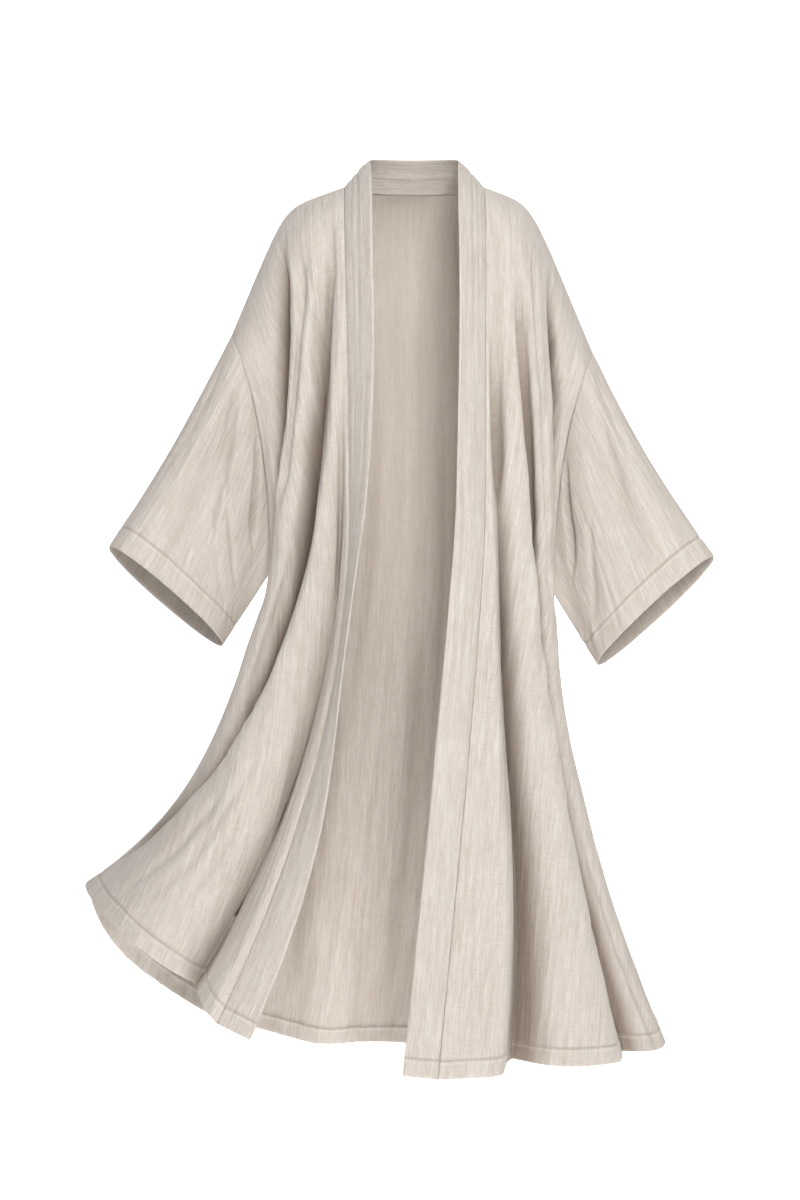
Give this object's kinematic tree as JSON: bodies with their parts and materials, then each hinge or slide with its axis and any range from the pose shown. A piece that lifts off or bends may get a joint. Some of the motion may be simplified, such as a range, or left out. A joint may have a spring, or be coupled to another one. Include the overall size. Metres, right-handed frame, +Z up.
{
  "type": "kimono jacket",
  "caption": "Long open-front kimono jacket in crinkled gauze, filled out as worn, with wide three-quarter sleeves, a plain collar band and a swinging hem.",
  "frame": {"origin": "the middle of the neck opening at the height of the back neck seam, where the jacket hangs from the shoulders", "axes": "+Z up, -Y out of the open front, +X to the viewer's right of the pictured front"},
  "size_m": [0.8768, 0.4379, 1.28],
  "materials": {
    "gauze_cloth": "matte crinkled double gauze in oatmeal beige, lightly slubbed"
  },
  "bodies": {
    "root": {"back": "gauze_cloth", "front_left": "gauze_cloth", "front_right": "gauze_cloth", "sleeve_left": "gauze_cloth", "sleeve_right": "gauze_cloth", "collar_band": "gauze_cloth"}
  },
  "joints": []
}
